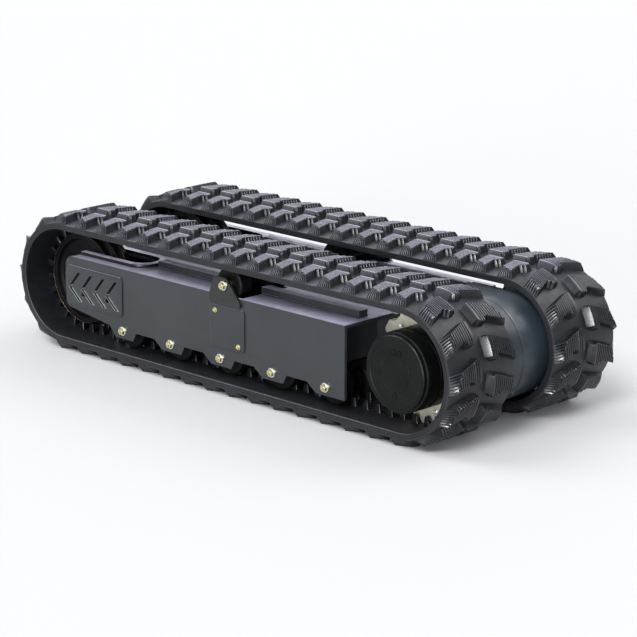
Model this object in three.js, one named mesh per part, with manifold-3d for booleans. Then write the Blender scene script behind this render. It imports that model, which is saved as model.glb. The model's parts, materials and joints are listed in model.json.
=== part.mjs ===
// Twin rubber-track undercarriage: two track units joined by two crossbeams.
// Millimetres, +Z up, +X towards the drive end, origin on the ground at the centre.
// Each unit is drawn with y = 0 on its belt centre and -y outboard, then placed.
import * as THREE from 'three';
import { mergeVertices } from 'three/addons/utils/BufferGeometryUtils.js';
import Module from 'manifold-3d';

const wasm = await Module();
wasm.setup();

// ---- driving dimensions -------------------------------------------------
const TRACK_GAUGE = 490;        // belt centre to belt centre
const TRACK_WIDTH = 300;
const WHEEL_BASE = 1580;        // idler axle to sprocket axle
const BELT_OUTER = 212.4;       // carcass radius round the end wheels
const BELT_THICKNESS = 24;
const LUG_HEIGHT = 25;
const LUG_COUNT = 42;           // in each of the two rows
const LUG_BASE = 58;            // length of a lug along the belt
const LUG_TOP = 40;
const LUG_START = 23.6;         // first lug of the row nearer -Y, from under the idler
const GROOVE_WIDTH = 44;        // sprocket groove inside the belt
const GROOVE_DEPTH = 12;
const ARC_SIDES = 12;           // facets in each half circle of the belt
const BAND_DROP = 2;            // how far the plain middle band lies below the carcass

const FRAME_HALF = 114;         // half width over the side plates
const PLATE = 10;
const FRAME_FRONT = -802;
const FRAME_REAR = 534;
const BULKHEAD_X = 470;          // rear face of the plate closing the frame, inside its open end
const FRAME_TOP = 331;
const FRAME_BOTTOM = 87;
const EDGE = {                  // outline of a side plate; the roller offsets run from a shaft
  topCorner: 34,
  lowCorner: 25,
  lowCornerZ: 175,
  noseX: -577,
  noseZ: 122,
  firstDropX: -548,
  bossEnd: 51,
  riseEnd: 67,
  riseZ: 117,
  dropStart: 158,
  dropEnd: 197,
};
const EAR = { foot: 46, tip: 30, rise: 22 };  // carrier shaft ear on the inner side plate
const WEB_BOTTOM = 186;         // lower edge of the cross plates, over the rollers
const RAIL_HALF = 19;           // raised rail along the top
const RAIL_HEIGHT = 24;
const RAIL_FRONT = -430;
const RAIL_REAR = 506;

const ROLLER_COUNT = 5;
const ROLLER_PITCH = 240;
const ROLLER_FIRST_X = -509.5;
const ROLLER_Z = 114;
const ROLLER_R = 64;
const ROLLER_HUB_R = 30;
const DRUM_NEAR = 50;
const DRUM_FAR = 76;
const SHAFT_R = 16;
const SHAFT_HOLE_R = 18;        // corner radius of the shaft holes in the plates

const CARRIER_X = 0;
const CARRIER_Z = 366;
const CARRIER_R = 57;
const CARRIER_WELL = 68;        // half length of the opening under the roller

const IDLER_TREAD_R = 156.5;
const IDLER_FLANGE_R = 172;
const IDLER_TREAD_HALF = 48;
const IDLER_FLANGE_HALF = 19;
const AXLE_R = 20;
const COLLAR_INNER = 53;
const COLLAR_OUTER = 78;
const COLLAR_CENTRE_X = -523;
const YOKE_INNER = 84;
const YOKE_OUTER = 103.4;
const YOKE_BLOCK_X = -560;
const SPRING_SEAT_X = -330;

const SPROCKET_TIP = 196;
const SPROCKET_ROOT = 176;
const SPROCKET_TEETH = 12;
const SPROCKET_HALF = 16;
const HUB_R = 128.6;
const HUB_BORE = 60;
const HUB_OUT = -150;           // outboard end of the rotating hub
const COVER_OUT = -162;
const MOTOR_R = 70;
const GUARD_R = 172;
const GUARD_Z = 232;
const GUARD_FLAT = 640;         // where the guard's flats end, towards the frame
const GUARD_WALL = 6;

const GAP = 0.3;                // clearance between touching pieces
const AXLE_Z = BELT_OUTER + LUG_HEIGHT;
const IDLER_X = -WHEEL_BASE / 2;
const DRIVE_X = WHEEL_BASE / 2;
const BELT_INNER = BELT_OUTER - BELT_THICKNESS;

// ---- materials ------------------------------------------------------------
const finish = (color, roughness, metalness) =>
  new THREE.MeshStandardMaterial({ color, roughness, metalness });
const PAINT = finish(0x4b5056, 0.45, 0.3);
const BLACK_PAINT = finish(0x202121, 0.5, 0.3);
const RUBBER = finish(0x2a2d33, 0.75, 0);
const ZINC = finish(0xb9b98a, 0.35, 0.9);
const CAST = finish(0x78735f, 0.6, 0.7);
const STEEL = finish(0x8a8d90, 0.4, 0.9);
const DARK_STEEL = finish(0x33353a, 0.5, 0.6);
const GUARD_PAINT = finish(0x323e48, 0.4, 0.3);

// ---- solids ---------------------------------------------------------------
function solid(geometry) {
  const bare = geometry.clone();
  bare.deleteAttribute('normal');
  bare.deleteAttribute('uv');
  const merged = mergeVertices(bare, 1e-4);
  const mesh = new wasm.Mesh({
    numProp: 3,
    vertProperties: new Float32Array(merged.attributes.position.array),
    triVerts: new Uint32Array(merged.index.array),
  });
  return new wasm.Manifold(mesh);
}

function geometryOf(body) {
  const mesh = body.getMesh();
  const geometry = new THREE.BufferGeometry();
  geometry.setAttribute('position', new THREE.BufferAttribute(mesh.vertProperties, 3));
  geometry.setIndex(new THREE.BufferAttribute(mesh.triVerts, 1));
  geometry.computeVertexNormals();
  return geometry;
}

const join = (bodies) => bodies.reduce((sum, body) => sum.add(body));

function block(x0, x1, y0, y1, z0, z1) {
  const geometry = new THREE.BoxGeometry(x1 - x0, y1 - y0, z1 - z0);
  geometry.translate((x0 + x1) / 2, (y0 + y1) / 2, (z0 + z1) / 2);
  return solid(geometry);
}

// A shape drawn in (x, z), given thickness from y0 to y1.
function plate(shape, y0, y1, curveSegments = 8) {
  const geometry = new THREE.ExtrudeGeometry(shape, {
    depth: y1 - y0,
    bevelEnabled: false,
    curveSegments,
  });
  geometry.rotateX(Math.PI / 2);
  geometry.translate(0, y1, 0);
  return solid(geometry);
}

// A profile of [radius, y] points turned round an axis that runs along Y.
function turned(profile, x, z, sides) {
  const points = profile.map(([r, y]) => new THREE.Vector2(r, y));
  const geometry = new THREE.LatheGeometry(points, sides);
  geometry.translate(x, 0, z);
  return solid(geometry);
}

function ringProfile(bore, outer) {
  const y0 = outer[0][1];
  const y1 = outer[outer.length - 1][1];
  return [[bore, y0], ...outer, [bore, y1], [bore, y0]];
}

// A round bar along Y.
function bar(radius, y0, y1, x, z, sides = 12) {
  return turned([[0, y0], [radius, y0], [radius, y1], [0, y1]], x, z, sides);
}

// A round bar along X.
function barAlongX(radius, x0, x1, z, sides = 12) {
  const geometry = new THREE.CylinderGeometry(radius, radius, x1 - x0, sides);
  geometry.rotateZ(Math.PI / 2);
  geometry.translate((x0 + x1) / 2, 0, z);
  return solid(geometry);
}

function outline(points) {
  return new THREE.Shape(points.map(([x, z]) => new THREE.Vector2(x, z)));
}

// A hole runs clockwise, against its outline.
function cutHole(shape, path, curveSegments = 8) {
  const points = path.getPoints(curveSegments);
  if (points[0].equals(points[points.length - 1])) points.pop();
  if (!THREE.ShapeUtils.isClockWise(points)) points.reverse();
  shape.holes.push(new THREE.Path(points));
}

function roundedBox(x0, x1, z0, z1, radius) {
  const shape = new THREE.Shape();
  shape.absarc(x1 - radius, z1 - radius, radius, 0, Math.PI / 2);
  shape.absarc(x0 + radius, z1 - radius, radius, Math.PI / 2, Math.PI);
  shape.absarc(x0 + radius, z0 + radius, radius, Math.PI, Math.PI * 1.5);
  shape.absarc(x1 - radius, z0 + radius, radius, Math.PI * 1.5, Math.PI * 2);
  return shape;
}

// ---- rubber track ---------------------------------------------------------
// The loop at a given radius: two half circles joined by two straight runs.
function loopShape(radius) {
  const shape = new THREE.Shape();
  shape.absarc(DRIVE_X, AXLE_Z, radius, -Math.PI / 2, Math.PI / 2);
  shape.absarc(IDLER_X, AXLE_Z, radius, Math.PI / 2, Math.PI * 1.5);
  return shape;
}

const PITCH_R = BELT_OUTER - BELT_THICKNESS / 2;
const LOOP_LENGTH = 2 * WHEEL_BASE + 2 * Math.PI * PITCH_R;

// The point at a distance along the loop, at a radius, and the outward angle there.
function loopPoint(distance, radius) {
  const arc = Math.PI * PITCH_R;
  let s = ((distance % LOOP_LENGTH) + LOOP_LENGTH) % LOOP_LENGTH;
  if (s < WHEEL_BASE) return { x: IDLER_X + s, z: AXLE_Z - radius, angle: -Math.PI / 2 };
  s -= WHEEL_BASE;
  if (s < arc) return onWheel(DRIVE_X, -Math.PI / 2 + s / PITCH_R, radius);
  s -= arc;
  if (s < WHEEL_BASE) return { x: DRIVE_X - s, z: AXLE_Z + radius, angle: Math.PI / 2 };
  s -= WHEEL_BASE;
  return onWheel(IDLER_X, Math.PI / 2 + s / PITCH_R, radius);
}

function onWheel(x, angle, radius) {
  return { x: x + radius * Math.cos(angle), z: AXLE_Z + radius * Math.sin(angle), angle };
}

// The side view of one row of lugs, as a ring with teeth.
function toothedShape(firstLug) {
  const pitch = LOOP_LENGTH / LUG_COUNT;
  const points = [];
  const add = (distance, radius) => {
    const { x, z } = loopPoint(distance, radius);
    points.push([x, z]);
  };
  for (let i = 0; i < LUG_COUNT; i += 1) {
    const middle = firstLug + i * pitch;
    add(middle - LUG_BASE / 2, BELT_OUTER);
    add(middle - LUG_TOP / 2, BELT_OUTER + LUG_HEIGHT);
    add(middle + LUG_TOP / 2, BELT_OUTER + LUG_HEIGHT);
    add(middle + LUG_BASE / 2, BELT_OUTER);
  }
  const shape = outline(points);
  cutHole(shape, loopShape(BELT_INNER), ARC_SIDES);
  return shape;
}

// Both belts lie the same way round, so the rows swap places in the mirrored right unit.
function rubberTrack(side) {
  const rows = [LUG_START, LUG_START + LOOP_LENGTH / LUG_COUNT / 2];
  if (side === 'right') rows.reverse();
  const half = TRACK_WIDTH / 2;
  const groove = GROOVE_WIDTH / 2;
  const middleBand = loopShape(BELT_OUTER - BAND_DROP);
  cutHole(middleBand, loopShape(BELT_INNER + GROOVE_DEPTH), ARC_SIDES);
  return join([
    plate(toothedShape(rows[0]), -half, -groove),
    plate(middleBand, -groove, groove, ARC_SIDES),
    plate(toothedShape(rows[1]), groove, half),
  ]);
}

// ---- track frame ----------------------------------------------------------
// The lower edge rises between the rollers and drops round each roller shaft.
function lowerEdge() {
  const points = [[EDGE.noseX, EDGE.noseZ], [EDGE.firstDropX, FRAME_BOTTOM]];
  for (let i = 0; i < ROLLER_COUNT - 1; i += 1) {
    const boss = ROLLER_FIRST_X + i * ROLLER_PITCH;
    points.push([boss + EDGE.bossEnd, FRAME_BOTTOM], [boss + EDGE.riseEnd, EDGE.riseZ]);
    points.push([boss + EDGE.dropStart, EDGE.riseZ], [boss + EDGE.dropEnd, FRAME_BOTTOM]);
  }
  return points;
}

function sideOutline(rearEnd, topEdge) {
  const { topCorner, lowCorner, lowCornerZ } = EDGE;
  const shape = new THREE.Shape();
  const [first, ...rest] = rearEnd;
  shape.moveTo(...first);
  [...rest, ...topEdge].forEach(([x, z]) => shape.lineTo(x, z));
  shape.absarc(FRAME_FRONT + topCorner, FRAME_TOP - topCorner, topCorner, Math.PI / 2, Math.PI);
  shape.absarc(FRAME_FRONT + lowCorner, lowCornerZ, lowCorner, Math.PI, Math.PI * 1.5);
  lowerEdge().forEach(([x, z]) => shape.lineTo(x, z));
  return shape;
}

function outerSide() {
  return sideOutline([[FRAME_REAR, FRAME_BOTTOM], [FRAME_REAR, FRAME_TOP]], []);
}

// The inner side plate runs on to carry the drive motor and has an ear for the carrier shaft.
function innerSide() {
  const armR = AXLE_Z - FRAME_BOTTOM;
  const rearEnd = [];
  const steps = 14;
  for (let i = 0; i <= steps; i += 1) {
    const angle = -Math.PI / 2 + Math.PI * i / steps;
    rearEnd.push([DRIVE_X + armR * Math.cos(angle), AXLE_Z + armR * Math.sin(angle)]);
  }
  rearEnd.push([DRIVE_X - 100, AXLE_Z + armR], [FRAME_REAR + 20, FRAME_TOP]);
  const tip = CARRIER_Z + EAR.rise;
  const ear = [[EAR.foot, FRAME_TOP], [EAR.tip, tip], [-EAR.tip, tip], [-EAR.foot, FRAME_TOP]];
  return sideOutline(rearEnd, ear.map(([x, z]) => [x + CARRIER_X, z]));
}

function topPlate() {
  const half = FRAME_HALF - PLATE + 1;
  const shape = new THREE.Shape();
  shape.moveTo(FRAME_FRONT + EDGE.topCorner, -half);
  shape.lineTo(FRAME_REAR, -half);
  shape.lineTo(FRAME_REAR, half);
  shape.lineTo(FRAME_FRONT + EDGE.topCorner, half);
  shape.lineTo(FRAME_FRONT + EDGE.topCorner, COLLAR_INNER);
  shape.absarc(COLLAR_CENTRE_X, 0, COLLAR_INNER, Math.PI / 2, -Math.PI / 2, true);
  shape.lineTo(FRAME_FRONT + EDGE.topCorner, -COLLAR_INNER);
  const well = new THREE.Path([
    new THREE.Vector2(CARRIER_X - CARRIER_WELL, -half + 1),
    new THREE.Vector2(CARRIER_X - CARRIER_WELL, half - 1),
    new THREE.Vector2(CARRIER_X + CARRIER_WELL, half - 1),
    new THREE.Vector2(CARRIER_X + CARRIER_WELL, -half + 1),
  ]);
  cutHole(shape, well);
  const geometry = new THREE.ExtrudeGeometry(shape, {
    depth: PLATE,
    bevelEnabled: false,
    curveSegments: 10,
  });
  geometry.translate(0, 0, FRAME_TOP - PLATE);
  return solid(geometry);
}

function trackFrame() {
  const inside = FRAME_HALF - PLATE;
  const web = inside + 1;
  const railTop = FRAME_TOP + RAIL_HEIGHT;
  const wellFront = CARRIER_X - CARRIER_WELL;
  const wellRear = CARRIER_X + CARRIER_WELL;
  const weldment = [
    plate(outerSide(), -FRAME_HALF, -inside),
    plate(innerSide(), inside, FRAME_HALF),
    topPlate(),
    block(BULKHEAD_X - PLATE, BULKHEAD_X, -web, web, WEB_BOTTOM, FRAME_TOP - 1),
    block(SPRING_SEAT_X, SPRING_SEAT_X + PLATE, -web, web, WEB_BOTTOM, FRAME_TOP - 1),
    block(RAIL_FRONT, wellFront, -RAIL_HALF, RAIL_HALF, FRAME_TOP - 1, railTop),
    block(wellRear, RAIL_REAR, -RAIL_HALF, RAIL_HALF, FRAME_TOP - 1, railTop),
  ];
  const cuts = [
    bar(96, inside - 5, FRAME_HALF + 5, DRIVE_X, AXLE_Z, 20),
    bar(SHAFT_HOLE_R, inside - 5, FRAME_HALF + 5, CARRIER_X, CARRIER_Z, 8),
    barAlongX(20, SPRING_SEAT_X - 5, SPRING_SEAT_X + PLATE + 5, AXLE_Z),
  ];
  for (let i = 0; i < ROLLER_COUNT; i += 1) {
    const x = ROLLER_FIRST_X + i * ROLLER_PITCH;
    cuts.push(bar(SHAFT_HOLE_R, -FRAME_HALF - 5, FRAME_HALF + 5, x, ROLLER_Z, 8));
  }
  for (let i = 0; i < VENT.slots; i += 1) {
    cuts.push(plate(upperSlot(i), -FRAME_HALF - 5, -inside + 5));
    cuts.push(plate(upperSlot(i), inside - 5, FRAME_HALF + 5));
  }
  return join(weldment).subtract(join(cuts));
}

// The U-shaped lip round the top opening that the idler turns in.
function idlerCollar() {
  const front = FRAME_FRONT + 40;
  const shape = new THREE.Shape();
  shape.moveTo(front, -COLLAR_OUTER);
  shape.absarc(COLLAR_CENTRE_X, 0, COLLAR_OUTER, -Math.PI / 2, Math.PI / 2);
  shape.lineTo(front, COLLAR_OUTER);
  shape.lineTo(front, COLLAR_INNER);
  shape.absarc(COLLAR_CENTRE_X, 0, COLLAR_INNER, Math.PI / 2, -Math.PI / 2, true);
  shape.lineTo(front, -COLLAR_INNER);
  const geometry = new THREE.ExtrudeGeometry(shape, {
    depth: 12,
    bevelEnabled: false,
    curveSegments: 10,
  });
  geometry.translate(0, 0, FRAME_TOP + GAP);
  return solid(geometry);
}

// ---- side covers ----------------------------------------------------------
const VENT = {
  x0: -795,
  x1: -507,
  z0: 162,
  z1: 300,
  tipZ: 226,
  margin: 16,
  slots: 4,
  pitch: 63.3,
  width: 13,
};

// One slanted slot of a chevron, from its tip to its end.
function slantedSlot(tipX, tipZ, dx, dz) {
  const corners = [[0, 0], [VENT.width, 0], [VENT.width + dx, dz], [dx, dz]];
  if (dz < 0) corners.reverse();
  return outline(corners.map(([x, z]) => [tipX + x, tipZ + z]));
}

function upperSlot(i) {
  return slantedSlot(VENT.x0 + VENT.margin + i * VENT.pitch, VENT.tipZ + 3, 44, 50);
}

function lowerSlot(i) {
  return slantedSlot(VENT.x0 + VENT.margin + i * VENT.pitch, VENT.tipZ - 3, 50, -44);
}

// Each chevron is an upper slot, cut on through the frame, and a lower recess.
function ventPanel(y0, y1) {
  const slots = [];
  for (let i = 0; i < VENT.slots; i += 1) {
    slots.push(plate(upperSlot(i), y0 - 1, y1 + 1));
    slots.push(plate(lowerSlot(i), y0 - 1, y1 + 1));
  }
  const panel = plate(roundedBox(VENT.x0, VENT.x1, VENT.z0, VENT.z1, 16), y0, y1, 4);
  return panel.subtract(join(slots));
}

function accessCover() {
  const face = -FRAME_HALF - GAP;
  return plate(roundedBox(-75, 88, 152, 294, 14), face - 4, face, 4);
}

// ---- wheels and axles -----------------------------------------------------
function trackRoller(x) {
  const outer = [
    [ROLLER_R, -DRUM_FAR], [ROLLER_R, -DRUM_NEAR],
    [ROLLER_HUB_R, -DRUM_NEAR], [ROLLER_HUB_R, DRUM_NEAR],
    [ROLLER_R, DRUM_NEAR], [ROLLER_R, DRUM_FAR],
  ];
  return turned(ringProfile(SHAFT_R + 1.2, outer), x, ROLLER_Z, 12);
}

// A through axle with a hex at each side plate.
function axleBolt(x, z, outFace, inFace) {
  return join([
    bar(SHAFT_R, outFace - 4, inFace + 4, x, z, 10),
    bar(22, outFace - 15, outFace - GAP, x, z, 6),
    bar(22, inFace + GAP, inFace + 15, x, z, 6),
  ]);
}

function carrierRoller() {
  const outer = [
    [CARRIER_R, -100], [CARRIER_R, -DRUM_NEAR],
    [24, -DRUM_NEAR], [24, DRUM_NEAR],
    [CARRIER_R, DRUM_NEAR], [CARRIER_R, 100],
  ];
  return turned(ringProfile(SHAFT_R + 1.2, outer), CARRIER_X, CARRIER_Z, 14);
}

function carrierBracket() {
  const face = -FRAME_HALF - GAP;
  const shape = outline([
    [-70, 303], [74, 303], [74, 316], [16, 386], [8, 392],
    [-40, 392], [-48, 386], [-70, 330],
  ].map(([x, z]) => [x + CARRIER_X, z]));
  const hole = bar(SHAFT_HOLE_R, face - 15, face + 5, CARRIER_X, CARRIER_Z, 8);
  return plate(shape, face - 10, face).subtract(hole);
}

function idlerWheel() {
  const outer = [
    [60, -54], [60, -IDLER_TREAD_HALF],
    [IDLER_TREAD_R, -IDLER_TREAD_HALF], [IDLER_TREAD_R, -IDLER_FLANGE_HALF],
    [IDLER_FLANGE_R, -IDLER_FLANGE_HALF + 5], [IDLER_FLANGE_R, IDLER_FLANGE_HALF - 5],
    [IDLER_TREAD_R, IDLER_FLANGE_HALF], [IDLER_TREAD_R, IDLER_TREAD_HALF],
    [60, IDLER_TREAD_HALF], [60, 54],
  ];
  return turned(ringProfile(AXLE_R + 1.2, outer), IDLER_X, AXLE_Z, 18);
}

function idlerYoke() {
  const arms = [
    block(IDLER_X - 28, YOKE_BLOCK_X, -YOKE_OUTER, -YOKE_INNER, AXLE_Z - 34, AXLE_Z + 34),
    block(IDLER_X - 28, YOKE_BLOCK_X, YOKE_INNER, YOKE_OUTER, AXLE_Z - 34, AXLE_Z + 34),
    block(YOKE_BLOCK_X - 30, YOKE_BLOCK_X, -YOKE_OUTER, YOKE_OUTER, AXLE_Z - 34, AXLE_Z + 34),
    barAlongX(14, YOKE_BLOCK_X - 5, SPRING_SEAT_X + 60, AXLE_Z),
  ];
  const hole = bar(AXLE_R + 1.2, -YOKE_OUTER - 5, YOKE_OUTER + 5, IDLER_X, AXLE_Z, 12);
  return join(arms).subtract(hole);
}

// ---- recoil spring and tension cylinder -------------------------------------
class Helix extends THREE.Curve {
  constructor(x0, x1, radius, turns) {
    super();
    Object.assign(this, { x0, x1, radius, turns });
  }

  getPoint(t, target = new THREE.Vector3()) {
    const angle = 2 * Math.PI * this.turns * t;
    const x = this.x0 + (this.x1 - this.x0) * t;
    const y = this.radius * Math.cos(angle);
    return target.set(x, y, AXLE_Z + this.radius * Math.sin(angle));
  }
}

function recoilSpring() {
  const wire = 7;
  const turns = 5;
  const margin = wire + 2;
  const path = new Helix(YOKE_BLOCK_X + margin, SPRING_SEAT_X - margin, 34, turns);
  const section = new THREE.Shape();
  section.absarc(0, 0, wire, 0, Math.PI * 2);
  const geometry = new THREE.ExtrudeGeometry(section, {
    steps: turns * 8,
    curveSegments: 3,
    bevelEnabled: false,
    extrudePath: path,
  });
  return solid(geometry);
}

function tensionCylinder() {
  const x0 = SPRING_SEAT_X + PLATE + GAP;
  const body = join([barAlongX(42, x0, x0 + 12, AXLE_Z), barAlongX(28, x0, x0 + 150, AXLE_Z)]);
  return body.subtract(barAlongX(18, x0 - 5, x0 + 130, AXLE_Z));
}

// ---- drive end --------------------------------------------------------------
function gearboxHub() {
  const inner = -SPROCKET_HALF - GAP;
  return turned([
    [0, HUB_OUT], [HUB_R - 7, HUB_OUT], [HUB_R, HUB_OUT + 7], [HUB_R, inner],
    [HUB_BORE, inner], [HUB_BORE, HUB_OUT + 30], [0, HUB_OUT + 30],
  ], DRIVE_X, AXLE_Z, 20);
}

function hubCover() {
  return turned([
    [0, COVER_OUT], [HUB_R - 13, COVER_OUT], [HUB_R - 8, COVER_OUT + 5],
    [HUB_R - 8, HUB_OUT - GAP], [0, HUB_OUT - GAP],
  ], DRIVE_X, AXLE_Z, 20);
}

function sprocket() {
  const points = [];
  const step = 2 * Math.PI / SPROCKET_TEETH;
  const tooth = [[-0.34, SPROCKET_ROOT], [-0.15, SPROCKET_TIP], [0.15, SPROCKET_TIP], [0.34, SPROCKET_ROOT]];
  for (let i = 0; i < SPROCKET_TEETH; i += 1) {
    tooth.forEach(([part, radius]) => {
      const angle = (i + part) * step;
      points.push([DRIVE_X + radius * Math.cos(angle), AXLE_Z + radius * Math.sin(angle)]);
    });
  }
  const shape = outline(points);
  const bore = new THREE.Path();
  bore.absarc(DRIVE_X, AXLE_Z, HUB_BORE, 0, Math.PI * 2);
  cutHole(shape, bore, 8);
  return plate(shape, -SPROCKET_HALF, SPROCKET_HALF);
}

function driveMotor() {
  const flange = FRAME_HALF + GAP;
  return turned([
    [0, HUB_OUT + 45], [50, HUB_OUT + 45], [50, 24], [92, 24], [92, flange],
    [118, flange], [118, flange + 14], [MOTOR_R, flange + 14],
    [MOTOR_R, flange + 84], [MOTOR_R - 10, flange + 92], [0, flange + 92],
  ], DRIVE_X, AXLE_Z, 16);
}

function guardShape(radius, flatEnd) {
  const shape = new THREE.Shape();
  shape.moveTo(flatEnd, GUARD_Z - radius);
  shape.absarc(DRIVE_X, GUARD_Z, radius, -Math.PI / 2, Math.PI / 2);
  shape.lineTo(flatEnd, GUARD_Z + radius);
  return shape;
}

// A half drum round the drive motor, closed by a web on the side plate.
function motorGuard() {
  const web = FRAME_HALF + GAP;
  const centre = TRACK_GAUGE / 2 - GAP / 2;
  const shell = plate(guardShape(GUARD_R, GUARD_FLAT), web, centre, 14);
  const hollow = plate(guardShape(GUARD_R - GUARD_WALL, GUARD_FLAT - 5), web + GUARD_WALL, centre + 5, 14);
  const mouth = bar(122, web - 5, web + 20, DRIVE_X, AXLE_Z, 20);
  return shell.subtract(hollow).subtract(mouth);
}

// ---- crossbeams ---------------------------------------------------------------
const BEAM_X = 300;
const BEAM_HALF = 45;
const BEAM_BOTTOM = 186;
const BEAM_TOP = 262;

function crossbeam(x) {
  const reach = TRACK_GAUGE / 2 - FRAME_HALF - GAP;
  const wall = 8;
  const tube = block(x - BEAM_HALF, x + BEAM_HALF, -reach, reach, BEAM_BOTTOM, BEAM_TOP);
  const bore = block(x - BEAM_HALF + wall, x + BEAM_HALF - wall,
    -reach - 5, reach + 5, BEAM_BOTTOM + wall, BEAM_TOP - wall);
  const flanges = [-1, 1].map((side) => {
    const y0 = side < 0 ? -reach : reach - 12;
    return block(x - 80, x + 80, y0, y0 + 12, BEAM_BOTTOM - 24, BEAM_TOP + 16);
  });
  const pad = block(x - 70, x + 70, -70, 70, BEAM_TOP - 1, BEAM_TOP + 12);
  return join([tube, pad, ...flanges]).subtract(bore);
}

// ---- assembly -------------------------------------------------------------------
function part(name, body, material) {
  const mesh = new THREE.Mesh(geometryOf(body), material);
  mesh.name = name;
  return mesh;
}

function trackUnit(side) {
  const unit = new THREE.Group();
  const add = (name, body, material) => unit.add(part(`${name}_${side}`, body, material));
  const outFace = -FRAME_HALF;
  add('track_frame', trackFrame(), PAINT);
  add('idler_collar', idlerCollar(), PAINT);
  add('vent_panel_outer', ventPanel(outFace - GAP - 4, outFace - GAP), PAINT);
  add('vent_panel_inner', ventPanel(FRAME_HALF + GAP, FRAME_HALF + GAP + 4), PAINT);
  add('access_cover', accessCover(), PAINT);
  add('rubber_track', rubberTrack(side), RUBBER);
  for (let i = 0; i < ROLLER_COUNT; i += 1) {
    const x = ROLLER_FIRST_X + i * ROLLER_PITCH;
    add(`track_roller_${i + 1}`, trackRoller(x), DARK_STEEL);
    add(`roller_axle_${i + 1}`, axleBolt(x, ROLLER_Z, outFace, FRAME_HALF), ZINC);
  }
  add('carrier_bracket', carrierBracket(), PAINT);
  add('carrier_roller', carrierRoller(), DARK_STEEL);
  add('carrier_axle', axleBolt(CARRIER_X, CARRIER_Z, outFace - GAP - 10, FRAME_HALF), ZINC);
  add('idler_wheel', idlerWheel(), DARK_STEEL);
  add('idler_axle', bar(AXLE_R, -YOKE_OUTER, YOKE_OUTER, IDLER_X, AXLE_Z), STEEL);
  add('idler_yoke', idlerYoke(), PAINT);
  add('recoil_spring', recoilSpring(), STEEL);
  add('tension_cylinder', tensionCylinder(), STEEL);
  add('sprocket', sprocket(), CAST);
  add('gearbox_hub', gearboxHub(), BLACK_PAINT);
  add('hub_cover', hubCover(), BLACK_PAINT);
  add('drive_motor', driveMotor(), BLACK_PAINT);
  add('motor_guard', motorGuard(), GUARD_PAINT);
  return unit;
}

const group = new THREE.Group();
const left = trackUnit('left');
left.position.y = -TRACK_GAUGE / 2;
const right = trackUnit('right');
right.position.y = TRACK_GAUGE / 2;
right.scale.y = -1;
group.add(left, right);
group.add(part('crossbeam_front', crossbeam(-BEAM_X), PAINT));
group.add(part('crossbeam_rear', crossbeam(BEAM_X), PAINT));

export default group;
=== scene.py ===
"""Looks for a twin rubber-track undercarriage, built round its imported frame.

Shapes are worked out in millimetres, in the coordinates of one track unit: x along the
tracks towards the drive end, y across with 0 on the belt centre and minus outboard, z up.
publish() puts them into the row's frame in metres, mirrored for the right-hand unit.
"""
import json
import math
import bmesh
import bpy
import numpy as np
from mathutils import Matrix, Vector


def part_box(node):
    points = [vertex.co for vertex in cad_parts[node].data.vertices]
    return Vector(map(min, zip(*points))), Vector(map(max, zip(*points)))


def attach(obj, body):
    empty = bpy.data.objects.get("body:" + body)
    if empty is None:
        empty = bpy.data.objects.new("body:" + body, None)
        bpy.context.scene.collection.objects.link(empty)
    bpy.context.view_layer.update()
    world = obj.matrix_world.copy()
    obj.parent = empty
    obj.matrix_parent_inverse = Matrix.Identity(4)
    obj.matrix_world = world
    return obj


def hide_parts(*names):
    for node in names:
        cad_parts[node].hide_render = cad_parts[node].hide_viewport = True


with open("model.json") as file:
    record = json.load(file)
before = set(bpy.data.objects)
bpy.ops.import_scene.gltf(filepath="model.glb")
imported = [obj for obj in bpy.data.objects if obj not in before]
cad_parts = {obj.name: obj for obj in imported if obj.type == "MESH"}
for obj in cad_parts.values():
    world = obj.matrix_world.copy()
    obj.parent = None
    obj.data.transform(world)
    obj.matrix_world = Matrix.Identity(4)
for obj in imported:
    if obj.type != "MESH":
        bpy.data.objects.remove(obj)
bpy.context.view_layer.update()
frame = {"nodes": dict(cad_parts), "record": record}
record = frame["record"]
joints = {joint["name"]: joint for joint in record["behaviour"]["joints"]}

# ---- sizes from the frame, in millimetres ---------------------------------
MM = 0.001


def node_box(node):
    low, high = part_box(node)
    return [c / MM for c in low], [c / MM for c in high]


def joint_at(name):
    return [c / MM for c in joints[name]["pos_m"]]


DRIVE_X, UNIT_Y, AXLE_Z = joint_at("sprocket_spin_left")
UNIT_Y = -UNIT_Y
IDLER_X = joint_at("idler_spin_left")[0]
BELT_LOW, BELT_HIGH = node_box("rubber_track_left")
BELT_WIDTH = BELT_HIGH[1] - BELT_LOW[1]
LUG_HEIGHT = 25
BELT_OUTER = AXLE_Z - BELT_LOW[2] - LUG_HEIGHT
BELT_THICKNESS = 24
PITCH_R = BELT_OUTER - BELT_THICKNESS / 2
WHEEL_BASE = DRIVE_X - IDLER_X
HALF_TURN = math.pi * PITCH_R
LOOP = 2 * (WHEEL_BASE + HALF_TURN)
LUG_COUNT = 42
LUG_PITCH = LOOP / LUG_COUNT
LUG_PHASE = 84                  # first outboard lug, from the idler along the top run
LINK_COUNT = 84
FRAME_FACE = 114                # outer face of a side plate, from the belt centre
HUB_R = 128.6
HUB_OUT = -150
COVER_OUT = -162
SIDES = {"left": -1, "right": 1}
GAP = 0.3                       # clearance between touching pieces
COVER_THICKNESS = 4             # access cover and vent panels
FRAME_TOP = 331
RAIL_HALF = 19
RAIL_SPANS = ((-428, -70), (70, 504))
SHAFT_BORE = 17.2               # roller bores


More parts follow.
